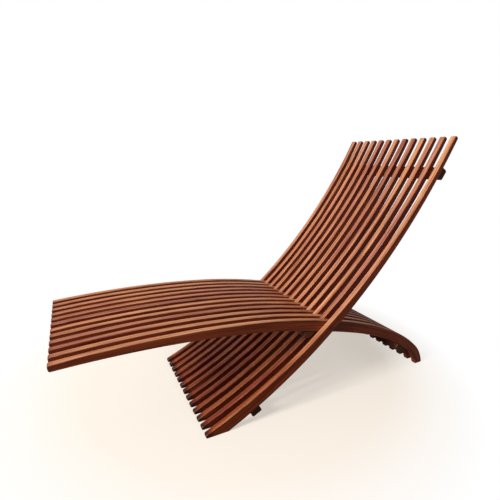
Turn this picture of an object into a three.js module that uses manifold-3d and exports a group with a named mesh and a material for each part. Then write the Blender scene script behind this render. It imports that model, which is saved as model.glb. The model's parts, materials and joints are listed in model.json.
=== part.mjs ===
// Folding deck chair. Two panels of curved hardwood slats are threaded through each
// other like two combs and turn on one rod, so the chair folds flat.
//
// Millimetres, +Z up: +X is the sitter's left, -Y is towards the sitter's feet. The
// origin is on the floor under the middle of the chair. Every outline is drawn in the
// side view, where x runs along the chair (+Y) and y runs up (+Z); the third direction
// of the side view runs across the chair (+X).
import * as THREE from 'three';
import * as BufferGeometryUtils from 'three/addons/utils/BufferGeometryUtils.js';
import Module from 'manifold-3d';

const { degToRad, mapLinear } = THREE.MathUtils;

// Across the chair
const BACK_SLATS = 13; // the seat has one fewer, in the gaps between them
const PITCH = 48; // from one slat to the next of the same panel
const SIDE_GAP = 1.5; // from a seat slat to the back slat beside it
const FIT = 0.3; // between pieces that touch

// Back panel, along its front line from the floor up. Angles are in degrees.
const BACK_RISE = 23.6; // slope at the floor
const BACK_LOWER = { radius: 2080, length: 560 };
const BACK_UPPER = { radius: 2385, length: 975 };
const BACK_NOSE = 14; // height of the plumb-cut nose that stands on the floor
const BACK_DEPTH_FOOT = 51.5; // depth of a slat from its front face to its rear face
const BACK_DEPTH_PIVOT = 38.5;
const BACK_DEPTH_TIP = 19.5;
const BACK_PIVOT_AT = 625; // from the nose to the rod, along the front line

// Seat panel, along its top line from the toe end to the rear foot. It bends down all
// the way, and what is left below the heel arc runs straight on to the floor.
const SEAT_RISE = 4.2; // slope at the toe end
const SEAT_CALF = { radius: -3800, length: 620 };
const SEAT_THIGH = { radius: -2530, length: 555 };
const SEAT_HIP = { radius: -1420, length: 242 };
const SEAT_HAUNCH = { radius: -690, length: 191 };
const SEAT_HEEL = { radius: -210, length: 121 };
const SEAT_DEPTH_TOE = 22.5;
const SEAT_DEPTH_PIVOT = 48.5;
const SEAT_DEPTH_FOOT = 41;
const SEAT_PIVOT_IN_THIGH = 385; // from the start of the thigh to the rod, along the top line

const SLAT_ROUND = 6; // round on the corners of the slats' ends

// Battens that tie the slats of a panel together
const BATTEN_WIDTH = 44;
const BATTEN_THICK = 30;
const BATTEN_ROUND = 4;
const BATTEN_INSET = 4; // from a panel's outer side to the batten's end
const BACK_TOP_FROM_TIP = 145; // to the middle of each batten, along its panel's line
const BACK_BOTTOM_FROM_NOSE = 198;
const SEAT_REAR_FROM_HEEL = 214; // from the end of the heel arc
const TOE_BATTEN_FROM_TOE = 110;
const TOE_BATTEN_WIDTH = 36; // this one is let into the slats from below
const TOE_BATTEN_THICK = 10;

// Pivot
const ROD_RADIUS = 4;
const ROD_CLEARANCE = 0.5; // round the rod, in the slats and the washers
const WASHER_RADIUS = 10;
const NUT_FLATS = 13; // across flats
const NUT_THICK = 5.5;
const ROD_PROUD = 1; // rod past its nut
const BORE_RADIUS = 10; // counterbore for a nut and the plug that covers it
const BORE_DEPTH = 13;

// Fineness of the facets
const SAGITTA = 0.4; // largest gap between an arc and its chords
const CORNER_STEPS = 3;
const FACET_SAMPLES = 12; // along a stretch of a face that another piece has to clear
const SHARP = degToRad(30); // outline corners that turn more are rounded
const ROUND_SIDES = 16;
const BORE_SIDES = 24;

const SLAT_WIDTH = PITCH / 2 - SIDE_GAP;
const SEAT_SLATS = BACK_SLATS - 1;
const BACK_HALF_WIDTH = ((BACK_SLATS - 1) * PITCH + SLAT_WIDTH) / 2;
const SEAT_HALF_WIDTH = ((SEAT_SLATS - 1) * PITCH + SLAT_WIDTH) / 2;
const SEAT_PIVOT_AT = SEAT_CALF.length + SEAT_PIVOT_IN_THIGH;
const HOLE_RADIUS = ROD_RADIUS + ROD_CLEARANCE;

const wasm = await Module();
wasm.setup();

// A line of tangent arcs, measured by the distance s from its start. A positive radius
// turns it upwards. Before its start and past its end it runs straight on.
class Line {
  constructor(start, slope, arcs) {
    this.start = start;
    this.slope = degToRad(slope);
    this.arcs = arcs;
    this.length = arcs.reduce((sum, arc) => sum + arc.length, 0);
  }

  // Point, direction and left-hand normal at s
  at(s) {
    const point = this.start.clone();
    let slope = this.slope;
    let left = s;
    for (const { radius, length } of this.arcs) {
      if (left <= 0) break;
      const turned = slope + Math.min(left, length) / radius;
      point.x += radius * (Math.sin(turned) - Math.sin(slope));
      point.y -= radius * (Math.cos(turned) - Math.cos(slope));
      slope = turned;
      left -= Math.min(left, length);
    }
    const along = new THREE.Vector2(Math.cos(slope), Math.sin(slope));
    const normal = new THREE.Vector2(-along.y, along.x);
    return { point: point.addScaledVector(along, left), along, normal };
  }

  // Distances that cut each arc into chords within SAGITTA of it
  steps() {
    const steps = [0];
    for (const { radius, length } of this.arcs) {
      const count = Math.ceil(length / Math.sqrt(8 * Math.abs(radius) * SAGITTA));
      const from = steps.at(-1);
      for (let i = 1; i <= count; i += 1) steps.push(from + (length * i) / count);
    }
    return steps;
  }

  // Where along the line its point nearest to `point` is
  nearest(point) {
    let s = this.length / 2;
    for (let step = this.length / 4; step > 1e-6; step /= 2) {
      const here = this.at(s);
      s += step * Math.sign(point.clone().sub(here.point).dot(here.along));
    }
    return s;
  }
}

// How far any of the points lies past `origin` in a direction
function reach(points, origin, direction) {
  return Math.max(...points.map((p) => p.clone().sub(origin).dot(direction)));
}

// A panel is its upper line and the depth of its slats below it, which changes evenly
// from the start to the rod and from the rod to the end.
class Panel {
  constructor(line, pivotAt, depths) {
    this.line = line;
    this.pivotAt = pivotAt;
    this.depths = depths;
  }

  depth(s) {
    const [first, middle, last] = this.depths;
    const { length } = this.line;
    if (s < this.pivotAt) return mapLinear(Math.max(s, 0), 0, this.pivotAt, first, middle);
    return mapLinear(Math.min(s, length), this.pivotAt, length, middle, last);
  }

  // The point at s, moved towards the slat's lower face and past it
  below(s, distance) {
    const { point, normal } = this.line.at(s);
    return point.addScaledVector(normal, -distance);
  }

  lower(s) {
    return this.below(s, this.depth(s));
  }

  upper(s) {
    return this.below(s, 0);
  }

  // Points of the sawn facets of one face, `upper` or `lower`, for `width` either side of s
  facets(face, s, width) {
    const steps = this.line.steps();
    return Array.from({ length: FACET_SAMPLES + 1 }, (_, k) => {
      const here = s + width * ((2 * k) / FACET_SAMPLES - 1);
      const to = Math.max(1, steps.findIndex((step) => step > here));
      const share = (here - steps[to - 1]) / (steps[to] - steps[to - 1]);
      return this[face](steps[to - 1]).lerp(this[face](steps[to]), share);
    });
  }

  pivot() {
    return this.below(this.pivotAt, this.depth(this.pivotAt) / 2);
  }

  // Outline of a slat between distances `from` and `to`
  outline(from, to) {
    const inside = this.line.steps().filter((s) => s > from && s < to);
    const steps = [from, ...inside, to];
    return [...steps.map((s) => this.upper(s)), ...steps.reverse().map((s) => this.lower(s))];
  }

  // How far below the line, at s, a flat face lies that rests against the slats' lower faces
  seating(s, width) {
    const { point, normal } = this.line.at(s);
    return reach(this.facets('lower', s, width / 2), point, normal.negate()) + FIT;
  }

  // Rectangle below the line at s: from `left` to `right` along it, `top` to `bottom` below
  box(s, left, right, top, bottom) {
    const { point, along, normal } = this.line.at(s);
    const corner = (a, d) => point.clone().addScaledVector(along, a).addScaledVector(normal, -d);
    return [corner(left, top), corner(right, top), corner(right, bottom), corner(left, bottom)];
  }
}

// What is left of an outline on the side of a straight cut that `keep` points to
function cut(outline, point, keep) {
  const side = (p) => p.clone().sub(point).dot(keep);
  return outline.flatMap((p, i) => {
    const next = outline[(i + 1) % outline.length];
    const [here, there] = [side(p), side(next)];
    const kept = here >= 0 ? [p] : [];
    if (here * there < 0) kept.push(p.clone().lerp(next, here / (here - there)));
    return kept;
  });
}

// The two sides of an outline's corner, as vectors from it, and half the angle between them
function cornerOf(outline, i) {
  const toLast = outline.at(i - 1).clone().sub(outline[i]);
  const toNext = outline[(i + 1) % outline.length].clone().sub(outline[i]);
  const half = Math.acos(toLast.dot(toNext) / (toLast.length() * toNext.length())) / 2;
  return { toLast, toNext, half, sharp: Math.PI - 2 * half > SHARP };
}

// The outline with an arc on each sharp corner, smaller where a side next to it is short.
// A curve's points that lie within reach of a corner make way for its arc.
function rounded(outline, radius) {
  const corners = outline.filter((_, i) => cornerOf(outline, i).sharp);
  const isFar = (p) => corners.every((corner) => corner.distanceTo(p) > 2 * radius);
  return outline.filter((p) => corners.includes(p) || isFar(p)).flatMap((p, i, points) => {
    const { toLast, toNext, half, sharp } = cornerOf(points, i);
    if (!sharp) return [p];
    const shortest = Math.min(toLast.length(), toNext.length());
    const trim = Math.min(radius / Math.tan(half), 0.45 * shortest);
    const inward = toLast.clone().normalize().add(toNext.normalize()).normalize();
    const centre = p.clone().addScaledVector(inward, trim / Math.cos(half));
    const start = p.clone().addScaledVector(toLast.normalize(), trim).sub(centre);
    const sweep = (Math.PI - 2 * half) * Math.sign(start.cross(p.clone().sub(centre)));
    const turn = (k) => start.clone().rotateAround(new THREE.Vector2(), (sweep * k) / CORNER_STEPS);
    return Array.from({ length: CORNER_STEPS + 1 }, (_, k) => turn(k).add(centre));
  });
}

// Corners of a regular polygon, the first one straight ahead of the centre
function polygon(centre, radius, sides) {
  const turned = (angle) => new THREE.Vector2(radius * Math.cos(angle), radius * Math.sin(angle));
  return Array.from({ length: sides }, (_, i) => turned((2 * Math.PI * i) / sides).add(centre));
}

// An outline, with a round hole for the rod if one is asked for, extruded across the chair
function slab(outline, from, to, holeRadius = 0) {
  const shape = new THREE.Shape(outline);
  if (holeRadius) shape.holes = [new THREE.Path(polygon(pivot, holeRadius, ROUND_SIDES))];
  const options = { depth: to - from, bevelEnabled: false };
  return new THREE.ExtrudeGeometry(shape, options).translate(0, 0, from);
}

// A round or hexagonal slab on the rod's axis
function disc(radius, sides, from, to, holeRadius) {
  return slab(polygon(pivot, radius, sides), from, to, holeRadius);
}

function solid(geometry) {
  const bare = geometry.clone();
  bare.deleteAttribute('normal');
  bare.deleteAttribute('uv');
  const merged = BufferGeometryUtils.mergeVertices(bare);
  const vertProperties = new Float32Array(merged.attributes.position.array);
  const triVerts = new Uint32Array(merged.index.array);
  return new wasm.Manifold(new wasm.Mesh({ numProp: 3, vertProperties, triVerts }));
}

function subtract(geometry, tool) {
  const { vertProperties, triVerts } = solid(geometry).subtract(solid(tool)).getMesh();
  const result = new THREE.BufferGeometry();
  result.setAttribute('position', new THREE.BufferAttribute(vertProperties, 3));
  result.setIndex(new THREE.BufferAttribute(triVerts, 1));
  const faceted = result.toNonIndexed();
  faceted.computeVertexNormals();
  return faceted;
}

// The two panels. The back stands on the floor at the start of its line, and the seat's
// rod hole meets the back's.
const backLine = new Line(new THREE.Vector2(0, BACK_NOSE), BACK_RISE, [BACK_LOWER, BACK_UPPER]);
const back = new Panel(backLine, BACK_PIVOT_AT, [BACK_DEPTH_FOOT, BACK_DEPTH_PIVOT, BACK_DEPTH_TIP]);
const seatArcs = [SEAT_CALF, SEAT_THIGH, SEAT_HIP, SEAT_HAUNCH, SEAT_HEEL];
const seatLine = new Line(new THREE.Vector2(), SEAT_RISE, seatArcs);
const seat = new Panel(seatLine, SEAT_PIVOT_AT, [SEAT_DEPTH_TOE, SEAT_DEPTH_PIVOT, SEAT_DEPTH_FOOT]);
const pivot = back.pivot();
seatLine.start.copy(pivot.clone().sub(seat.pivot()));

const chair = new THREE.Group();
const sideView = new THREE.Group();
const across = new THREE.Vector3(1, 0, 0);
const alongChair = new THREE.Vector3(0, 1, 0);
const up = new THREE.Vector3(0, 0, 1);
sideView.quaternion.setFromRotationMatrix(new THREE.Matrix4().makeBasis(alongChair, up, across));
chair.add(sideView);

const TIMBER_TONES = [0x8f4c2e, 0x9d5a36, 0x84432b, 0xa4623b, 0x8a4830];
let timbers = 0;

function timber() {
  timbers += 1;
  const color = TIMBER_TONES[(timbers * 7) % TIMBER_TONES.length];
  return new THREE.MeshStandardMaterial({ color, roughness: 0.45, metalness: 0 });
}

const steel = () => new THREE.MeshStandardMaterial({ color: 0xb9bcc0, roughness: 0.3, metalness: 1 });
const nylon = () => new THREE.MeshStandardMaterial({ color: 0x2a2a2c, roughness: 0.6, metalness: 0 });

function add(name, geometry, material, place = 0) {
  const mesh = new THREE.Mesh(geometry, material);
  mesh.name = name;
  mesh.position.z = place;
  sideView.add(mesh);
}

const number = (i) => String(i + 1).padStart(2, '0');
const slatPlace = (i, count) => (i - (count - 1) / 2) * PITCH;

function backSlats() {
  const floor = new THREE.Vector2();
  const lead = 2 * BACK_NOSE; // waste in front of the nose, before the plumb cut
  const sawn = back.outline(-lead, backLine.length);
  const standing = cut(sawn, floor, new THREE.Vector2(0, 1));
  const outline = rounded(cut(standing, floor, new THREE.Vector2(1, 0)), SLAT_ROUND);
  const plain = slab(outline, -SLAT_WIDTH / 2, SLAT_WIDTH / 2, HOLE_RADIUS);
  for (let i = 0; i < BACK_SLATS; i += 1) {
    let slat = plain;
    if (i === 0) slat = counterbored(plain, -1);
    if (i === BACK_SLATS - 1) slat = counterbored(plain, 1);
    add(`back_slat_${number(i)}`, slat, timber(), slatPlace(i, BACK_SLATS));
  }
}

// A slat with a counterbore in its outer face: `side` is -1 or 1
function counterbored(slat, side) {
  const floor = side * (SLAT_WIDTH / 2 - BORE_DEPTH);
  const mouth = side * SLAT_WIDTH;
  const bore = disc(BORE_RADIUS, BORE_SIDES, Math.min(floor, mouth), Math.max(floor, mouth));
  return subtract(slat, bore);
}

function seatSlats() {
  const floorCut = new THREE.Vector2();
  const leg = seatLine.at(seatLine.length);
  const toFloor = seatLine.length + 2 * SEAT_DEPTH_FOOT + Math.max(0, leg.point.y) / -leg.along.y;
  const outline = rounded(cut(seat.outline(0, toFloor), floorCut, new THREE.Vector2(0, 1)), SLAT_ROUND);
  const plain = slab(outline, -SLAT_WIDTH / 2, SLAT_WIDTH / 2, HOLE_RADIUS);
  const half = TOE_BATTEN_WIDTH / 2 + FIT;
  const face = seat.depth(TOE_BATTEN_FROM_TOE);
  const housed = face - TOE_BATTEN_THICK - FIT;
  const notch = seat.box(TOE_BATTEN_FROM_TOE, -half, half, housed, face + TOE_BATTEN_THICK);
  for (let i = 0; i < SEAT_SLATS; i += 1) {
    // The batten's ends are housed in the outer slats and don't show at the sides
    const from = i === 0 ? -FIT : -SLAT_WIDTH;
    const to = i === SEAT_SLATS - 1 ? FIT : SLAT_WIDTH;
    const slat = subtract(plain, slab(notch, from, to));
    add(`seat_slat_${number(i)}`, slat, timber(), slatPlace(i, SEAT_SLATS));
  }
}

function batten(name, outline, halfLength) {
  add(name, slab(rounded(outline, BATTEN_ROUND), -halfLength, halfLength), timber());
}

function battenUnder(name, panel, s, halfWidth) {
  const top = panel.seating(s, BATTEN_WIDTH);
  const outline = panel.box(s, -BATTEN_WIDTH / 2, BATTEN_WIDTH / 2, top, top + BATTEN_THICK);
  batten(name, outline, halfWidth - BATTEN_INSET);
}

// The stop is a batten under the seat, right in front of the back. Its rear face is
// bevelled to lie on the front faces of the back slats when the chair is open.
function stopBatten() {
  const middle = (s) => seat.below(s, seat.depth(s) + BATTEN_THICK / 2);
  const ahead = (s) => {
    const { point, normal } = backLine.at(backLine.nearest(middle(s)));
    return middle(s).sub(point).dot(normal) > 0;
  };
  let [front, rear] = [0, SEAT_PIVOT_AT];
  while (rear - front > 1e-3) {
    const half = (front + rear) / 2;
    if (ahead(half)) front = half;
    else rear = half;
  }
  const s = front - BATTEN_WIDTH / 2;
  const top = seat.seating(s, 2 * BATTEN_WIDTH);
  const sawn = seat.box(s, -BATTEN_WIDTH / 2, BATTEN_WIDTH / 2 + BATTEN_THICK, top, top + BATTEN_THICK);
  const touch = backLine.nearest(middle(front));
  const { point, normal } = backLine.at(touch);
  const bevel = reach(back.facets('upper', touch, BATTEN_THICK), point, normal) + FIT;
  const outline = cut(sawn, point.addScaledVector(normal, bevel), normal);
  batten('seat_stop_batten', outline, SEAT_HALF_WIDTH - BATTEN_INSET);
}

function toeBatten() {
  const half = TOE_BATTEN_WIDTH / 2;
  const depth = seat.depth(TOE_BATTEN_FROM_TOE);
  const outline = seat.box(TOE_BATTEN_FROM_TOE, -half, half, depth - TOE_BATTEN_THICK, depth);
  const reach = slatPlace(SEAT_SLATS - 1, SEAT_SLATS); // the middle of the outer slats
  add('seat_toe_batten', slab(outline, -reach, reach), timber());
}

function pivotPieces() {
  const nutInner = BACK_HALF_WIDTH - BORE_DEPTH + FIT;
  const nutOuter = nutInner + NUT_THICK;
  const rodEnd = nutOuter + ROD_PROUD;
  add('pivot_rod', disc(ROD_RADIUS, ROUND_SIDES, -rodEnd, rodEnd), steel());

  const nut = disc(NUT_FLATS / Math.sqrt(3), 6, nutInner, nutOuter, ROD_RADIUS + FIT);
  const plug = disc(BORE_RADIUS - FIT, BORE_SIDES, rodEnd + FIT, BACK_HALF_WIDTH);
  add('pivot_nut_left', nut, steel());
  add('pivot_plug_left', plug, timber());
  add('pivot_nut_right', nut.clone().translate(0, 0, -nutInner - nutOuter), steel());
  add('pivot_plug_right', plug.clone().translate(0, 0, -rodEnd - FIT - BACK_HALF_WIDTH), timber());

  const washerHalf = SIDE_GAP / 2 - FIT;
  const washer = disc(WASHER_RADIUS, ROUND_SIDES, -washerHalf, washerHalf, HOLE_RADIUS);
  const gaps = BACK_SLATS + SEAT_SLATS - 1;
  for (let i = 0; i < gaps; i += 1) {
    add(`pivot_washer_${number(i)}`, washer, nylon(), ((i - (gaps - 1) / 2) * PITCH) / 2);
  }
}

backSlats();
seatSlats();
battenUnder('back_top_batten', back, backLine.length - BACK_TOP_FROM_TIP, BACK_HALF_WIDTH);
battenUnder('back_bottom_batten', back, BACK_BOTTOM_FROM_NOSE, BACK_HALF_WIDTH);
battenUnder('seat_rear_batten', seat, seatLine.length - SEAT_REAR_FROM_HEEL, SEAT_HALF_WIDTH);
stopBatten();
toeBatten();
pivotPieces();

// Put the origin under the middle of the chair
const centre = new THREE.Box3().setFromObject(chair).getCenter(new THREE.Vector3());
chair.position.y = -centre.y;

export default chair;
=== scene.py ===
"""Folding deck chair: the finish of its slats, battens and pivot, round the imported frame.

Metres, +Z up. X runs across the chair, +Y from the sitter's feet to the head. Each slat is
drawn in the side view (Y, Z) and carried across X.
"""
import json
import math

import bmesh
import bpy
import numpy as np
from mathutils import Matrix, Vector


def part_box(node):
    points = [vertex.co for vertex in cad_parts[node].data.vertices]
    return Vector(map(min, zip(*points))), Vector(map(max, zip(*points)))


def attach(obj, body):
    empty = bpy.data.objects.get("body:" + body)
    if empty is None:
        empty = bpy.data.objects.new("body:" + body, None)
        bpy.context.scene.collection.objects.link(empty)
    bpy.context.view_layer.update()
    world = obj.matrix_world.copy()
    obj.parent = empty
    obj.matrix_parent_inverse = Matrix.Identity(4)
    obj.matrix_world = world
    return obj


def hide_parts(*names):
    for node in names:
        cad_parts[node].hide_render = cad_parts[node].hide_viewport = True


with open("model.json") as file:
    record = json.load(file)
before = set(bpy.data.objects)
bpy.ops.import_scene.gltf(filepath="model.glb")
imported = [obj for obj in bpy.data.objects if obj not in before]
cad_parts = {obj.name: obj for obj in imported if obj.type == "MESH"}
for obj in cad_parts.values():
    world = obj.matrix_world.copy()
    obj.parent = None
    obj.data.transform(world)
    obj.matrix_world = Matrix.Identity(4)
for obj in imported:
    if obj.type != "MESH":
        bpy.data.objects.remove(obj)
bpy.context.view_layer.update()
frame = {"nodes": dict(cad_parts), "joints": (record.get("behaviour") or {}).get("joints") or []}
scene = bpy.context.scene


# Camera
CAMERA_PLACE = (1.31658, -0.66098, 0.98402)
CAMERA_TURN, CAMERA_PITCH, CAMERA_ROLL = 64.835, 19.01, -0.5375  # degrees
SENSOR, FOCAL_SHARE = 36, 358.01 / 500  # mm, and the focal length over it
CAMERA_SHIFT = 0.0100, 0.0588


def add_camera():
    """A camera on the near side of the toe end, a little higher than the chair. It is turned
    from +Y towards -X, then pitched down, then rolled about its own axis."""
    turn, pitch, roll = map(math.radians, (CAMERA_TURN, CAMERA_PITCH, CAMERA_ROLL))
    flat = math.cos(pitch)
    ahead = Vector((-math.sin(turn) * flat, math.cos(turn) * flat, -math.sin(pitch)))
    level = Vector((math.cos(turn), math.sin(turn), 0))
    upright = level.cross(ahead)
    right = level * math.cos(roll) + upright * math.sin(roll)
    top = upright * math.cos(roll) - level * math.sin(roll)
    data = bpy.data.cameras.new("camera")
    data.sensor_width, data.lens = SENSOR, SENSOR * FOCAL_SHARE
    data.shift_x, data.shift_y = CAMERA_SHIFT
    camera = bpy.data.objects.new("camera", data)
    camera.matrix_world = Matrix((right, top, -ahead)).transposed().to_4x4()
    camera.location = CAMERA_PLACE
    scene.collection.objects.link(camera)
    scene.camera = camera


add_camera()


# Shading
class Value:
    """One output of a finish's nodes. Arithmetic on it adds Math nodes."""

    def __init__(self, finish, socket):
        self.finish, self.socket = finish, socket

    def _math(self, operation, first, second):
        return self.finish.node("ShaderNodeMath", {"operation": operation}, {0: first, 1: second})

    def __add__(self, other):
        return self._math("ADD", self, other)

    def __sub__(self, other):
        return self._math("SUBTRACT", self, other)

    def __rsub__(self, other):
        return self._math("SUBTRACT", other, self)

    def __mul__(self, other):
        return self._math("MULTIPLY", self, other)

    __radd__, __rmul__ = __add__, __mul__

    def between(self, low, high):
        """0 up to low, 1 from high, even in between."""
        limits = {"From Min": low, "From Max": high}
        return self.finish.node("ShaderNodeMapRange", {"clamp": True}, {"Value": self, **limits})


class Finish:
    """A node tree written as expressions."""

    def __init__(self, name=None, tree=None):
        if tree is None:
            self.material = bpy.data.materials.new(name)
            self.material.use_nodes = True
            tree = self.material.node_tree
        self.tree = tree
        self.tree.nodes.clear()

    def node(self, kind, settings, sockets, output=0):
        """Adds a node: first its settings, then the values or links of its sockets. Returns
        the output asked for."""
        node = self.tree.nodes.new(kind)
        for name, setting in settings.items():
            setattr(node, name, setting)
        for name, value in sockets.items():
            if isinstance(value, Value):
                self.tree.links.new(value.socket, node.inputs[name])
            elif isinstance(value, tuple) and node.inputs[name].type == "RGBA":
                node.inputs[name].default_value = (*value, 1)
            else:
                node.inputs[name].default_value = value
        return Value(self, node.outputs[output]) if node.outputs else None

    def attribute(self, name, output="Fac"):
        """A value stored with the piece's points."""
        return self.node("ShaderNodeAttribute", {"attribute_name": name}, {}, output)

    def mix(self, first, second, share, blend="MIX"):
        """Two colours mixed."""
        settings = {"data_type": "RGBA", "blend_type": blend}
        return self.node("ShaderNodeMix", settings, {0: share, 6: first, 7: second}, 2)

    def noise(self, vector, stretch, detail=2.0, roughness=0.5, distortion=0.0):
        """Noise with `stretch` features to the metre along each axis."""
        scaled = self.node("ShaderNodeMapping", {}, {"Vector": vector, "Scale": stretch})
        shape = {"Detail": detail, "Roughness": roughness, "Distortion": distortion}
        return self.node("ShaderNodeTexNoise", {}, {"Vector": scaled, "Scale": 1.0, **shape})

    def bump(self, height, distance, strength):
        """The normal of a relief `distance` deep."""
        sockets = {"Height": height, "Distance": distance, "Strength": strength}
        return self.node("ShaderNodeBump", {}, sockets)

    def surface(self, sockets):
        """Ends the tree with one shader."""
        shader = self.node("ShaderNodeBsdfPrincipled", {}, sockets)
        self.node("ShaderNodeOutputMaterial", {}, {"Surface": shader})
        return self.material


GRAIN_SHADE = (0.36, 0.22, 0.20)
PORE_COLOUR = (0.12, 0.04, 0.02)
SOAK_AND_SHADE_COLOUR = (0.030, 0.009, 0.006)


def timber(name, heart, sap, bleached_and_lit):
    """Oiled hardwood. The piece's `board` attribute is its place in the straight board, with
    the grain along Y; `tone` places it between heartwood and sapwood; `show` is 1 on the
    upper faces, which take a paler colour, partly from sun bleaching and the sitter's wear
    and partly painted light where the light falls, while the sides keep a darker colour as
    painted shade; it goes down to -1 at the ends, which are made dark, partly end grain
    that has taken up oil and partly painted shade; `arris` is 1 on the eased edges, which
    are made paler in spots, partly wear and partly a painted highlight."""
    wood = Finish(name)
    board = wood.attribute("board", "Vector")
    tone, show, arris = (wood.attribute(a) for a in ("tone", "show", "arris"))
    patches = wood.noise(board, (30, 1.8, 30), 2.0)
    rings = wood.noise(board, (130, 1.8, 100), 2.0, 0.6, 0.6)
    streaks = wood.noise(board, (380, 7, 380), 3.0, 0.65)
    pores = wood.noise(board, (1500, 30, 1500), 1.0).between(0.60, 0.74)
    figure = (rings * 0.55 + streaks * 0.45).between(0.41, 0.58)
    warm = (tone * 0.8 + patches.between(0.35, 0.65) * 0.6 - 0.15).between(0.0, 1.0)
    body = wood.mix(heart, sap, warm)
    # The upper faces take the paler colour and the sides keep the darker one: partly sun bleaching
    # and wear, partly painted light and shade.
    pale = wood.mix(bleached_and_lit[0], bleached_and_lit[1], warm)
    colour = wood.mix(body, pale, show)
    dark = wood.mix(colour, GRAIN_SHADE, 0.9, "MULTIPLY")
    colour = wood.mix(dark, colour, figure)
    colour = wood.mix(colour, PORE_COLOUR, pores * 0.3)
    # Darker ends: partly end grain that has taken up oil, partly painted shade.
    colour = wood.mix(colour, SOAK_AND_SHADE_COLOUR, show.between(0.0, -1.0) * 0.85)
    # Eased edges paler in spots: partly wear, partly a painted highlight.
    worn_and_highlit = (arris * wood.noise(board, (60, 14, 60), 3.0).between(0.42, 0.62)) * 0.35
    colour = wood.mix(colour, bleached_and_lit[1], worn_and_highlit)
    height = streaks * 0.6 + rings * 0.4 - pores * 0.8
    return wood.surface({
        "Base Color": colour,
        "Roughness": 0.34 + streaks * 0.16 + pores * 0.2 + worn_and_highlit * 0.3,
        "Specular IOR Level": 0.35,
        "Coat Weight": 0.14 - worn_and_highlit * 0.12,
        "Coat Roughness": 0.22,
        "Normal": wood.bump(height, 0.00025, 0.5),
    })


slat_timber = timber("oiled_slat_timber",
                     heart=(0.255, 0.026, 0.005), sap=(0.365, 0.064, 0.012),
                     bleached_and_lit=((0.52, 0.188, 0.128), (0.80, 0.380, 0.180)))
# Darker copies of the slat timber for the battens, as painted shade under the seat and behind the
# back; the plugs take the lighter one.
deep_shade_timber = timber("oiled_timber_painted_deep_shade",
                     heart=(0.075, 0.018, 0.009), sap=(0.120, 0.030, 0.012),
                     bleached_and_lit=((0.11, 0.030, 0.013), (0.15, 0.045, 0.018)))
shade_timber = timber("oiled_timber_painted_shade",
                      heart=(0.120, 0.028, 0.012), sap=(0.170, 0.045, 0.018),
                      bleached_and_lit=((0.17, 0.045, 0.018), (0.22, 0.062, 0.024)))


def steel(name):
    """Zinc-plated steel, turned, with faint rings and dull patches."""
    metal = Finish(name)
    place = metal.node("ShaderNodeTexCoord", {}, {}, "Object")
    turned = metal.noise(place, (2400, 120, 120), 2.0)
    dull = metal.noise(place, (130, 130, 130), 3.0)
    bright, grey = (0.60, 0.60, 0.58), (0.42, 0.41, 0.39)
    return metal.surface({
        "Base Color": metal.mix(bright, grey, dull.between(0.4, 0.65)),
        "Metallic": 1.0,
        "Roughness": 0.24 + dull * 0.22,
        "Normal": metal.bump(turned, 0.00005, 0.4),
    })


def nylon(name):
    """Black nylon, moulded, slightly grained and rubbed paler in places."""
    plastic = Finish(name)
    place = plastic.node("ShaderNodeTexCoord", {}, {}, "Object")
    grain = plastic.noise(place, (2200, 2200, 2200), 2.0)
    rubbed = plastic.noise(place, (220, 220, 220), 2.0).between(0.45, 0.7)
    black, pale = (0.012, 0.011, 0.011), (0.035, 0.030, 0.027)
    return plastic.surface({
        "Base Color": plastic.mix(black, pale, rubbed),
        "Roughness": 0.42 + grain * 0.2,
        "Normal": plastic.bump(grain, 0.00008, 0.4),
    })


pivot_steel = steel("plated_steel")
washer_nylon = nylon("black_nylon")


# Shapes in the side view
STRAIGHT_START, STRAIGHT_END = 0.1, 0.4  # how far past its ends a line may be asked for
UNBEND_STEPS = 6
CORNER_POINTS = 6


class SlatLine:
    """The upper line of a panel's slats: tangent arcs one after another, straight on past
    both ends."""

    def __init__(self, start, slope, arcs):
        self.start, self.slope, self.arcs = np.array(start, float), math.radians(slope), arcs
        self.length = sum(length for _, length in arcs)

    def at(self, s):
        """Points, directions and left-hand normals at distances s. Along an arc of radius r
        the slope grows by s / r, and the point moves by r times the change of the slope's
        sine along and of minus its cosine up."""
        left = np.array(s, float)
        point = np.zeros(left.shape + (2,)) + self.start
        slope = np.full(left.shape, self.slope)
        for radius, length in self.arcs:
            part = np.clip(left, 0, length)
            turned = slope + part / radius
            point[..., 0] += radius * (np.sin(turned) - np.sin(slope))
            point[..., 1] -= radius * (np.cos(turned) - np.cos(slope))
            slope, left = turned, left - part
        along = np.stack([np.cos(slope), np.sin(slope)], -1)
        normal = np.stack([-along[..., 1], along[..., 0]], -1)
        return point + along * left[..., None], along, normal

    def unbent(self, points):
        """Distance along the line and depth below it: from a first guess by Y, a few steps
        along the line's direction towards the foot of each point's plumb line."""
        near = np.linspace(-STRAIGHT_START, self.length + STRAIGHT_END, 400)
        s = np.interp(points[..., 0], self.at(near)[0][:, 0], near)
        for _ in range(UNBEND_STEPS):
            place, along, normal = self.at(s)
            s = s + ((points - place) * along).sum(-1)
        return s, -((points - self.at(s)[0]) * normal).sum(-1)


def unit(v):
    """Vectors divided by their lengths."""
    return v / np.linalg.norm(v, axis=-1, keepdims=True)


def rounded_corner(before, corner, after, radius):
    """An arc that touches both sides of a corner: its centre is on the bisector, radius over
    the sine of half the corner's angle away, and it turns evenly from side to side."""
    to_last, to_next = unit(before - corner), unit(after - corner)
    half = math.acos(float(np.clip(to_last @ to_next, -1, 1))) / 2
    centre = corner + unit(to_last + to_next) * radius / math.sin(half)
    start = corner + to_last * radius / math.tan(half) - centre
    end = corner + to_next * radius / math.tan(half) - centre
    first = math.atan2(start[1], start[0])
    sweep = (math.atan2(end[1], end[0]) - first + math.pi) % (2 * math.pi) - math.pi
    angle = first + sweep * np.linspace(0, 1, CORNER_POINTS)
    return centre + radius * np.stack([np.cos(angle), np.sin(angle)], -1)


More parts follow.
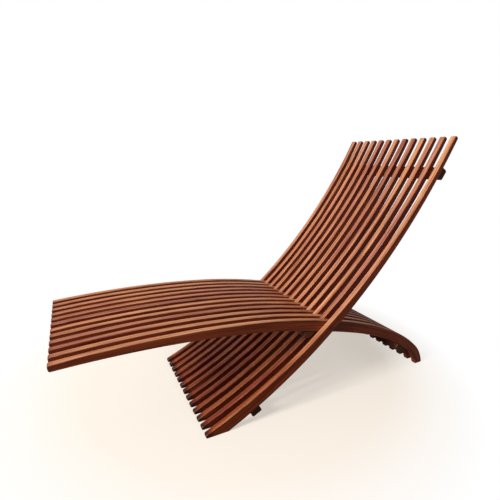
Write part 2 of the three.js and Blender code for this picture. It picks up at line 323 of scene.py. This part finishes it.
# Solids carried across the chair
ROWS = 4  # of faces across the side of a board
ARRIS_STEPS = 4  # points across an eased edge
FLAT = 0.0004  # strip beside an arris that keeps the flat faces flat
PALE_FACE_FADE = 2.5  # how fast the paler upper face, wear and painted light, gives way to its eased edges
SHARP = math.radians(40)
GRAIN_RUN = 0.02  # steepest slope of the grain to a board
TREE = 3  # furthest place in the wood that a board is taken from
# Tables along a board: the paler upper face (wear and painted light) laid on in full, and no
# darkening of the end (oil and painted shade).
EVEN_WEAR_AND_LIGHT, UNSOAKED_UNSHADED = ((0, 1), (1, 1)), ((0, 1), (0, 0))
rng = np.random.default_rng(54262)


def turned_faces(ring):
    """Faces of a turned solid, from the indices of its rings: quads between the rings, and
    a flat face at each end."""
    quads = [ring_faces(one, other).tolist() for one, other in zip(ring, ring[1:])]
    return sum(quads, []) + [ring[0].tolist(), ring[-1].tolist()]


def rim_of(grid):
    """The entries round the edge of a grid, in order."""
    return np.concatenate([grid[:, 0], grid[-1, 1:-1], grid[::-1, -1], grid[0, -2:0:-1]])


def ring_faces(first, second):
    """Quads between two closed rings of indices."""
    return np.stack([first, np.roll(first, -1), np.roll(second, -1), second], -1)


def grid_faces(grid):
    """Quads of a grid of indices."""
    return np.stack([grid[:-1, :-1], grid[1:, :-1], grid[1:, 1:], grid[:-1, 1:]], -1)


def inward(outline):
    """For each point of a closed outline, the vector that moves both its sides inwards by
    one: the sum of their unit normals over one plus their dot product."""
    ahead = np.roll(outline, -1, 0)
    side = unit(ahead - outline)
    turn = np.sign((outline[:, 0] * ahead[:, 1] - outline[:, 1] * ahead[:, 0]).sum())
    normal = np.stack([-side[:, 1], side[:, 0]], -1) * turn
    last = np.roll(normal, 1, 0)
    return (normal + last) / (1 + (normal * last).sum(-1, keepdims=True))


def board(upper, lower, half, arris, bore=None):
    """A board between two edges in the side view, paired point by point, carried across X.
    The profile from face to side is a quarter circle of the arris radius between two narrow
    flat strips, as X and inset; the outline is moved inwards by the inset. Each side is a
    grid between its inset edges. A bore is (centre, first and last station, profile): there
    the grid gives way to rings round the centre, which follow the profile of X and radius
    from side to side. Returns points, faces, and the show and arris values of the points."""
    share = np.linspace(0, 1, ROWS + 1)[None, :, None]
    count = len(upper)
    sheet = upper[:, None] * (1 - share) + lower[:, None] * share
    rim = rim_of(np.arange(count * (ROWS + 1)).reshape(count, ROWS + 1))
    outline = sheet.reshape(-1, 2)[rim]
    moved = inward(outline)

    angle = np.linspace(0, math.pi / 2, ARRIS_STEPS)
    x = np.concatenate([[half - arris - FLAT], half - arris + arris * np.sin(angle), [half]])
    inset = np.concatenate([[0], arris * (1 - np.cos(angle)), [arris + FLAT]])
    eased = np.array([0, 0, *[1] * (ARRIS_STEPS - 1), 0])
    x = np.concatenate([-x[::-1], x])
    inset, eased = (np.concatenate([a[::-1], a]) for a in (inset, eased))
    rings = outline[None] + moved[None] * inset[:, None, None]
    steps, around = rings.shape[:2]
    profile = np.concatenate([np.broadcast_to(x[:, None, None], (steps, around, 1)), rings], -1)
    points, index = [profile.reshape(-1, 3)], np.arange(steps * around).reshape(steps, around)
    faces = [ring_faces(index[k], index[k + 1]) for k in range(steps - 1)]
    top = steps * around

    # The paler colour of wear and painted light goes on the upper face and fades over the arris;
    # the eased edges are marked for wear and a painted highlight.
    flatness = 1 - np.clip(inset / arris, 0, 1)
    show = (rim % (ROWS + 1) == 0) * flatness[:, None] ** PALE_FACE_FADE
    worn_and_highlit = np.broadcast_to(eased[:, None], show.shape)

    flat_rim = np.zeros(count * (ROWS + 1), int)
    flat_rim[rim] = np.arange(around)
    corner = flat_rim.reshape(count, ROWS + 1)
    near, far = (rings[0][corner[:, edge]][:, None] for edge in (0, -1))
    inner = near * (1 - share) + far * share
    patches = []
    for side, ring in ((-1, index[0]), (1, index[-1])):
        grid = top + np.arange(count * (ROWS + 1)).reshape(count, ROWS + 1)
        flush = np.full((count, ROWS + 1, 1), side * half)
        points.append(np.concatenate([flush, inner], -1).reshape(-1, 3))
        top += count * (ROWS + 1)
        flat = grid.ravel()
        flat[rim] = ring
        grid = flat.reshape(count, ROWS + 1)
        if bore:
            first, last = bore[1], bore[2]
            faces += [grid_faces(grid[:first + 1]), grid_faces(grid[last:])]
            patches.append(rim_of(grid[first:last + 1]))
        else:
            faces.append(grid_faces(grid))
    if bore:
        centre = bore[0]
        edge = np.concatenate(points)[patches[1], 1:]
        towards, rounds = unit(edge - centre), []
        for place, radius in bore[3]:
            circle = centre + towards * radius
            points.append(np.concatenate([np.full((len(circle), 1), place), circle], -1))
            rounds.append(top + np.arange(len(circle)))
            top += len(circle)
        chain = [patches[1], *rounds, patches[0]]
        faces += [ring_faces(a, b) for a, b in zip(chain, chain[1:])]

    points = np.concatenate(points)
    faces = np.concatenate([block.reshape(-1, 4) for block in faces])
    values = np.zeros((2, top))
    values[0, :show.size], values[1, :show.size] = show.ravel(), worn_and_highlit.ravel()
    used, faces = np.unique(faces, return_inverse=True)
    return points[used], faces.reshape(-1, 4), values[:, used]


def add_piece(name, points, faces, attributes, material, body, slot, *nodes):
    """A closed mesh with outward faces, smooth but for its sharp edges, which rides on a body,
    takes the finish given, and stands for the nodes. Its slot is not used."""
    mesh = bpy.data.meshes.new(name)
    mesh.from_pydata(points.tolist(), [], faces if isinstance(faces, list) else faces.tolist())
    for label, values in attributes.items():
        kind, entry = ("FLOAT_VECTOR", "vector") if values.ndim == 2 else ("FLOAT", "value")
        layer = mesh.attributes.new(label, kind, "POINT")
        layer.data.foreach_set(entry, values.astype(np.float32).ravel())
    shell = bmesh.new()
    shell.from_mesh(mesh)
    bmesh.ops.recalc_face_normals(shell, faces=shell.faces)
    shell.to_mesh(mesh)
    shell.free()
    mesh.materials.append(material)
    mesh.shade_smooth()
    mesh.set_sharp_from_angle(angle=SHARP)
    piece = bpy.data.objects.new(name, mesh)
    scene.collection.objects.link(piece)
    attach(piece, body)
    if nodes:
        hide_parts(*nodes)


def add_board(name, shape, straight, x, material, body, slot, *nodes, pale=EVEN_WEAR_AND_LIGHT, end_soak_and_shade=UNSOAKED_UNSHADED):
    """A board put at x. Its tone, its place in the tree and the run of its grain across and
    down, as slopes along it, are drawn. `pale` says, at distances along it, how much of the
    paler colour its upper face takes, partly wear and partly painted light; the last table
    says how dark its end is made, partly end grain that has taken up oil and partly
    painted shade."""
    points, faces, (show, worn_and_highlit) = shape
    # Paler upper face (wear and painted light), less the darkened end (oil and painted shade).
    show = show * np.interp(straight[:, 1], *pale) - np.interp(straight[:, 1], *end_soak_and_shade)
    tone, run, lift = rng.uniform(0, 1), *rng.uniform(-GRAIN_RUN, GRAIN_RUN, 2)
    grain = straight + straight[:, 1:2] * (run, 0, lift)
    attributes = {"board": grain + rng.uniform(-TREE, TREE, 3), "show": show, "arris": worn_and_highlit,
                  "tone": np.full(len(points), tone)}
    add_piece(name, points + (x, 0, 0), faces, attributes, material, body, slot, *nodes)


# Measures of the slats, as sawn
PITCH = 0.048
SLAT_HALF = 0.01125
ARRIS = 0.0022
END_ROUND = 0.006
BACK_SLATS, SEAT_SLATS = 13, 12
BACK_DEPTHS = (0.0515, 0.0385, 0.0195)
SEAT_DEPTHS = (0.0225, 0.0485, 0.041)
BACK_ROD_AT, SEAT_ROD_AT = 0.625, 1.005
BACK_PALE = ((0, 0.40, 0.66), (0.13, 0.34, 1))  # less of the paler colour towards the foot: painted shade of the seat
# Along the seat, how much of the paler colour, partly painted light, the upper faces take: less at
# the toe, and less where the seat runs under the back, as painted shade there.
SEAT_PALE = ((0, 0.35, 1.10, 1.35), (0.70, 0.88, 0.95, 0.7))
# How dark the ends are made along the slats: partly end grain that has taken up oil, partly
# painted shade.
BACK_END_SOAK_AND_SHADE = ((0.006, 0.030), (1.3, 0))
SEAT_END_SOAK_AND_SHADE = ((0.001, 0.010), (0.8, 0))
STATION = 0.012  # step along a slat
END_STATION = 0.008  # of the first station from an end
NEAREST = 0.004  # that a station may come to an extra one
BORE_REACH, BORE_STATIONS = 0.022, 9
HEEL_START, HEEL_RUN = 0.09, 0.082  # where the upper face starts to run on, and over what
SOLE_STEP = 0.001  # between the stations where the sole leaves the floor
HOUSING_WALL = 2e-5  # along the slat, in which a wall of the housing rises
ROD_HOLE, COUNTERBORE, BORE_DEPTH, CHAMFER = 0.0045, 0.010, 0.013, 0.0004
NOTCH = (0.0917, 0.1283, 0.0103)  # from, to and depth of the housing for the toe batten

rod = np.array(frame["joints"][0]["pos_m"][1:])
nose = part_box("back_slat_01")[0].y
back_line = SlatLine((nose, 0.014), 23.6, [(2.080, 0.560), (2.385, 0.975)])
seat_line = SlatLine((0, 0), 4.2, [(-3.800, 0.620), (-2.530, 0.555), (-1.420, 0.242),
                                   (-0.690, 0.191), (-0.210, 0.121)])
place, _, normal = seat_line.at(SEAT_ROD_AT)
seat_line.start = rod - place + normal * SEAT_DEPTHS[1] / 2


def depth(line, rod_at, depths, s):
    """Depth of a slat: even change from its start to the rod and from the rod to its end."""
    return np.interp(s, (0, rod_at, line.length), depths)


def places(count):
    """X of a panel's slats, a pitch apart and centred."""
    return (np.arange(count) - (count - 1) / 2) * PITCH


def stations(start, end, rod_at, extra=()):
    """Distances along a slat: even steps, closer ones round the rod, and the extra ones."""
    even = np.linspace(start, end, round((end - start) / STATION) + 1)
    extra = np.array(extra)
    keep = np.abs(even - rod_at) > BORE_REACH + STATION / 3
    for one in extra:
        keep &= (np.abs(even - one) > NEAREST) | (even == start) | (even == end)
    close = np.linspace(-1, 1, BORE_STATIONS) * BORE_REACH + rod_at
    return np.sort(np.concatenate([even[keep], close, extra]))


def bored(s, rod_at, profile):
    """A bore round the rod: its centre, the stations next to its reach, counted with the
    points of the rounded corners before them, and its profile."""
    first = int(np.argmin(np.abs(s - rod_at + BORE_REACH))) + CORNER_POINTS
    last = int(np.argmin(np.abs(s - rod_at - BORE_REACH))) + CORNER_POINTS
    return rod, first, last, profile


def through(half):
    """Profile of the rod's hole, chamfered at both sides."""
    return [(half, ROD_HOLE + CHAMFER), (half - CHAMFER, ROD_HOLE),
            (CHAMFER - half, ROD_HOLE), (-half, ROD_HOLE + CHAMFER)]


def sunk(half, side):
    """Profile of the rod's hole with a counterbore in the outer side."""
    floor = half - BORE_DEPTH
    profile = [(half, COUNTERBORE + CHAMFER), (half - CHAMFER, COUNTERBORE), (floor, COUNTERBORE),
               (floor, ROD_HOLE), (CHAMFER - half, ROD_HOLE), (-half, ROD_HOLE + CHAMFER)]
    return profile if side > 0 else [(-x, radius) for x, radius in profile[::-1]]


def back_slat(profile):
    """A back slat: rounded nose with a plumb face, the underside on the floor until the lower
    face at the slat's full depth has left it, then both faces, and a rounded tip. On the
    floor its depth is the upper face's height over the upward part of its normal."""
    end = back_line.length
    fine = np.linspace(0.01, 0.2, 2000)
    place, _, normal = back_line.at(fine)
    lifted = place[:, 1] / normal[:, 1]
    leaves = float(fine[np.argmax(lifted > depth(back_line, BACK_ROD_AT, BACK_DEPTHS, fine))])
    bend = (leaves - SOLE_STEP, leaves, leaves + SOLE_STEP)
    s = stations(END_STATION, end - END_STATION, BACK_ROD_AT, bend)
    place, _, normal = back_line.at(s)
    whole = depth(back_line, BACK_ROD_AT, BACK_DEPTHS, s)
    deep = np.minimum(whole, place[:, 1] / normal[:, 1])
    under = place - normal * deep[:, None]
    first, last = back_line.at(0.0)[0], back_line.at(end)[0]
    tip = last - back_line.at(end)[2] * BACK_DEPTHS[2]
    ground = np.array([nose, 0.0])
    upper = np.concatenate([rounded_corner(ground, first, place[0], END_ROUND), place,
                            rounded_corner(place[-1], last, tip, END_ROUND)])
    lower = np.concatenate([rounded_corner(first, ground, under[0], END_ROUND), under,
                            rounded_corner(under[-1], tip, last, END_ROUND)])
    return board(upper, lower, SLAT_HALF, ARRIS, bored(s, BACK_ROD_AT, profile))


def seat_slat(notched):
    """A seat slat: rounded toe end square to the line, both faces at the slat's depth, housed
    from below for the toe batten, and a foot cut level with the floor. The upper face runs
    on past the lower one there, by a share that grows as 3 r squared less 2 r cubed."""
    fine = np.linspace(seat_line.length - 0.1, seat_line.length + 0.6, 8000)
    place, _, normal = seat_line.at(fine)
    lowest = place - normal * depth(seat_line, SEAT_ROD_AT, SEAT_DEPTHS, fine)[:, None]
    ends = [float(fine[np.argmax(points[:, 1] < 0)]) for points in (place, lowest)]
    start, stop, cut = NOTCH
    housing = (start, start + HOUSING_WALL, stop - HOUSING_WALL, stop) if notched else ()
    s = stations(END_STATION, ends[1] - END_STATION, SEAT_ROD_AT, housing)
    ramp = np.clip((s - ends[1] + HEEL_START) / HEEL_RUN, 0, 1)
    place = seat_line.at(s + (ends[0] - ends[1]) * ramp ** 2 * (3 - 2 * ramp))[0]
    deep = depth(seat_line, SEAT_ROD_AT, SEAT_DEPTHS, s)
    if notched:
        deep = deep - cut * ((s > start + HOUSING_WALL / 2) & (s < stop - HOUSING_WALL / 2))
    straight, _, normal = seat_line.at(s)
    under = straight - normal * deep[:, None]
    first, _, normal = seat_line.at(0.0)
    toe = first - normal * SEAT_DEPTHS[0]
    heel, sole = seat_line.at(ends[0])[0], lowest[np.argmax(lowest[:, 1] < 0)]
    upper = np.concatenate([rounded_corner(toe, first, place[0], END_ROUND), place,
                            rounded_corner(place[-1], heel, sole, END_ROUND)])
    lower = np.concatenate([rounded_corner(first, toe, under[0], END_ROUND), under,
                            rounded_corner(under[-1], sole, heel, END_ROUND)])
    return board(upper, lower, SLAT_HALF, ARRIS, bored(s, SEAT_ROD_AT, through(SLAT_HALF)))


def straightened(line, shape):
    """Each point's place in the straight board: across, along and deep."""
    along, deep = line.unbent(shape[0][:, 1:])
    return np.stack([shape[0][:, 0], along, deep], -1)


def add_slats():
    """Both panels, from the far side to the near one. The rod's nuts are let into the outer
    back slats; the outer seat slats are not housed."""
    plain = back_slat(through(SLAT_HALF))
    outer = {0: back_slat(sunk(SLAT_HALF, -1)), BACK_SLATS - 1: back_slat(sunk(SLAT_HALF, 1))}
    for i, x in enumerate(places(BACK_SLATS)):
        node, shape = f"back_slat_{i + 1:02d}", outer.get(i, plain)
        add_board(f"shaped_{node}", shape, straightened(back_line, shape), x, slat_timber,
                  "back_panel", "slat_timber", node, pale=BACK_PALE, end_soak_and_shade=BACK_END_SOAK_AND_SHADE)
    housed, whole = seat_slat(True), seat_slat(False)
    for i, x in enumerate(places(SEAT_SLATS)):
        node, shape = f"seat_slat_{i + 1:02d}", whole if i in (0, SEAT_SLATS - 1) else housed
        add_board(f"shaped_{node}", shape, straightened(seat_line, shape), x, slat_timber,
                  "seat_panel", "slat_timber", node, pale=SEAT_PALE, end_soak_and_shade=SEAT_END_SOAK_AND_SHADE)


# Battens and their screws
def section(node, line):
    """The four corners of a batten's section, the two nearest the slats first. The section's
    outline, in order round its middle, has four long sides; each is carried on until it
    meets the next."""
    mesh = frame["nodes"][node].data
    co = np.zeros(len(mesh.vertices) * 3)
    mesh.vertices.foreach_get("co", co)
    points = np.unique(co.reshape(-1, 3)[:, 1:].round(6), axis=0)
    arm = points - points.mean(0)
    points = points[np.argsort(np.arctan2(arm[:, 1], arm[:, 0]))]
    side = np.roll(points, -1, 0) - points
    longest = np.sort(np.argsort(np.linalg.norm(side, axis=1))[-4:])
    corners = []
    for one, other in zip(longest, np.roll(longest, -1)):
        step = np.linalg.solve(np.stack([side[one], -side[other]], 1), points[other] - points[one])
        corners.append(points[one] + side[one] * step[0])
    corners = np.array(corners)
    deep = line.unbent((corners + np.roll(corners, -1, 0)) / 2)[1]
    return np.roll(corners, -int(np.argmin(deep)), 0)


# Rings of a screw's head, from the socket's floor: radius, how far it is a hexagon, and height
SCREW_RINGS = np.array([(1.9, 1, -1.0), (1.95, 1, 0.85), (2.6, 0.5, 0.95), (3.3, 0, 0.80),
                        (3.9, 0, 0.50), (4.3, 0, 0.10), (4.35, 0, -0.60)]) / (1000, 1, 1000)
SCREW_SIDES = 24
BATTEN_WEAR_AND_LIGHT = 0.6  # of a slat's paler upper face and eased edges: wear and painted light


def add_screws(name, centre, out, along, across, body):
    """Raised countersunk heads with hexagon sockets, at each X of `across`. A ring is a
    circle, or the hexagon with radius r cos 30 / cos of the angle from the middle of its
    side, or between the two."""
    angle = np.arange(SCREW_SIDES) * 2 * math.pi / SCREW_SIDES
    hexagon = math.cos(math.pi / 6) / np.cos((angle % (math.pi / 3)) - math.pi / 6)
    radius, flat, height = SCREW_RINGS.T
    reach = radius[:, None] * (1 + flat[:, None] * (hexagon - 1))
    u, v = reach * np.cos(angle), reach * np.sin(angle)
    side_view = centre + along * v[..., None] + out * height[:, None, None]
    one = np.concatenate([u[..., None], side_view], -1).reshape(-1, 3)
    points = (one[None] + np.array([(x, 0, 0) for x in across])[:, None]).reshape(-1, 3)
    faces = turned_faces(np.arange(len(one)).reshape(-1, SCREW_SIDES))
    faces = [[p + k * len(one) for p in face] for k in range(len(across)) for face in faces]
    add_piece(name, points, faces, {}, pivot_steel, body, "pivot_steel")


def add_batten(node, line, body, rounds, finish, screws_at, half=None):
    """A batten with its rounded corners, those next to the slats and those away from them,
    and a screw into each slat. Its grain runs along X."""
    near, far = rounds
    a, b, c, d = section(node, line)
    upper = np.concatenate([rounded_corner(d, a, b, near), rounded_corner(a, b, c, near)])
    lower = np.concatenate([rounded_corner(a, d, c, far), rounded_corner(d, c, b, far)])
    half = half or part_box(node)[1].x
    points, faces, values = board(upper, lower, half, ARRIS)
    along, deep = line.unbent(points[:, 1:])
    straight = np.stack([deep, points[:, 0], along], -1)
    add_board(f"shaped_{node}", (points, faces, values * BATTEN_WEAR_AND_LIGHT), straight, 0, finish, body,
              "batten_timber", node)
    along = unit(c - d)
    out = np.array([along[1], -along[0]])
    out = out * np.sign(out @ (c + d - a - b))
    add_screws(f"{node}_screws", (c + d) / 2, out, along, screws_at, body)


def add_battens():
    """Two battens on the back panel and three under the seat, the last between its outer
    slats."""
    back, seat = places(BACK_SLATS), places(SEAT_SLATS)
    top, bottom, toe = (0.002, 0.008), (0.002, 0.006), (0.0006, 0.0006)
    # The battens take the darker copies of the slat timber, as painted shade.
    add_batten("back_top_batten", back_line, "back_panel", top, deep_shade_timber, back)
    add_batten("back_bottom_batten", back_line, "back_panel", bottom, deep_shade_timber, back)
    add_batten("seat_rear_batten", seat_line, "seat_panel", bottom, shade_timber, seat)
    add_batten("seat_stop_batten", seat_line, "seat_panel", bottom, shade_timber, seat)
    add_batten("seat_toe_batten", seat_line, "seat_panel", toe, deep_shade_timber, seat[1:-1],
               seat[-1] - SLAT_HALF)


# Pivot
PLUG_SIDES, PLUG_LEAN, PLUG_TONE = 48, math.radians(35), 0.4


def add_plug(node, side):
    """The plug over a nut: its profile of X and radius is carried round the rod's axis. Its
    end grain faces out, turned by the lean."""
    low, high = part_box(node)
    inner, outer = (low.x, high.x) if side > 0 else (high.x, low.x)
    radius = (high.z - low.z) / 2
    profile = [(inner, radius - 0.0006), (inner + side * 0.0006, radius),
               (outer - side * 0.0005, radius), (outer - side * 0.0001, radius - 0.0004),
               (outer, radius - 0.0011)]
    angle = np.linspace(0, 2 * math.pi, PLUG_SIDES, endpoint=False)
    x, reach = (np.array(a)[:, None] for a in zip(*profile))
    across = np.broadcast_to(x, (len(profile), PLUG_SIDES))
    points = np.stack([across, rod[0] + reach * np.cos(angle), rod[1] + reach * np.sin(angle)],
                      -1).reshape(-1, 3)
    faces = turned_faces(np.arange(len(points)).reshape(-1, PLUG_SIDES))
    sine, cosine = math.sin(PLUG_LEAN), math.cos(PLUG_LEAN)
    grain = points @ np.array([(0, 0, 1), (-sine, cosine, 0), (cosine, sine, 0)])
    zeros = np.zeros(len(points))
    attributes = {"board": grain, "show": zeros, "arris": zeros, "tone": zeros + PLUG_TONE}
    # The plug takes the darker copy of the slat timber that paints shade on the seat battens.
    add_piece(f"shaped_{node}", points, faces, attributes, shade_timber, "back_panel",
              "plug_timber", node)


add_slats()
add_battens()
add_plug("pivot_plug_left", 1)
add_plug("pivot_plug_right", -1)
for name, node in frame["nodes"].items():
    if name.startswith("pivot_washer"):
        node.material_slots[0].material = washer_nylon
    elif name.startswith(("pivot_rod", "pivot_nut")):
        node.material_slots[0].material = pivot_steel


# Floor and light
FLOOR_HALF = 40
FLOOR_MIDDLE, FLOOR_FADE = (-0.20, -0.02, 0), (0.76, 1.12)  # where it runs out to white
FLOOR_SEEN, FLOOR_BOUNCE = (0.86, 0.80, 0.74), (0.154, 0.140, 0.133)
FLOOR_GLOW, GLOW_SHARE = (0.956, 0.888, 0.799), 0.457
LIGHT_AIM = Vector((0, 0, 0.4))
SKY_WAY = (-0.75, 0.35, 0.56)  # towards the brightest part of the room
WHITE = (1.0, 1.0, 1.0)


def add_floor():
    """A pale floor that runs out to white, and is dimmer where it lights the chair."""
    h = FLOOR_HALF
    mesh = bpy.data.meshes.new("floor")
    mesh.from_pydata([(-h, -h, 0), (h, -h, 0), (h, h, 0), (-h, h, 0)], [], [(0, 1, 2, 3)])
    floor = bpy.data.objects.new("floor", mesh)
    scene.collection.objects.link(floor)
    paint = Finish("floor_paint")
    place = paint.node("ShaderNodeTexCoord", {}, {}, "Object")
    distance = paint.node("ShaderNodeVectorMath", {"operation": "DISTANCE"},
                          {0: place, 1: FLOOR_MIDDLE}, "Value")
    seen = paint.node("ShaderNodeLightPath", {}, {}, "Is Camera Ray")
    colour = paint.mix(FLOOR_BOUNCE, FLOOR_SEEN, seen)
    matt = paint.node("ShaderNodeBsdfDiffuse", {}, {"Color": colour})
    lit = {"Color": FLOOR_GLOW, "Strength": seen * 1.247 + 0.03}
    glow = paint.node("ShaderNodeEmission", {}, lit)
    near = paint.node("ShaderNodeMixShader", {}, {0: GLOW_SHARE, 1: matt, 2: glow})
    white = {"Color": WHITE, "Strength": seen * 0.85 + 0.15}
    far = paint.node("ShaderNodeEmission", {}, white)
    fade = distance.between(*FLOOR_FADE)
    blend = paint.node("ShaderNodeMixShader", {}, {0: fade, 1: near, 2: far})
    paint.node("ShaderNodeOutputMaterial", {}, {"Surface": blend})
    mesh.materials.append(paint.material)


def add_light(name, place, size, power, colour):
    """A square soft light aimed at the middle of the chair."""
    data = bpy.data.lights.new(name, "AREA")
    data.shape, data.size, data.energy, data.color = "SQUARE", size, power, colour
    light = bpy.data.objects.new(name, data)
    light.location = place
    light.rotation_euler = (LIGHT_AIM - Vector(place)).to_track_quat("-Z", "Y").to_euler()
    scene.collection.objects.link(light)


def add_sky():
    """White behind the chair, and dimmer light from the near side and from below."""
    world = bpy.data.worlds.new("studio")
    world.use_nodes = True
    scene.world = world
    sky = Finish(tree=world.node_tree)
    way = sky.node("ShaderNodeTexCoord", {}, {}, "Generated")
    rise = sky.node("ShaderNodeVectorMath", {"operation": "DOT_PRODUCT"}, {0: way, 1: SKY_WAY},
                    "Value")
    soft = sky.node("ShaderNodeMapRange", {}, {"Value": rise, "From Min": -0.2, "From Max": 0.9,
                                              "To Min": 0.14, "To Max": 0.44})
    seen = sky.node("ShaderNodeLightPath", {}, {}, "Is Camera Ray")
    strength = seen + (1 - seen) * soft
    light = sky.node("ShaderNodeBackground", {}, {"Color": WHITE, "Strength": strength})
    sky.node("ShaderNodeOutputWorld", {}, {"Surface": light})


add_floor()
add_light("front_key", (1.15, -5.6, 3.85), 1.7, 500, (1.0, 0.94, 0.87))
add_light("overhead", (0.6, 0.4, 4.0), 2.4, 6, (1.0, 0.97, 0.95))
add_sky()
scene.view_settings.view_transform = "Standard"
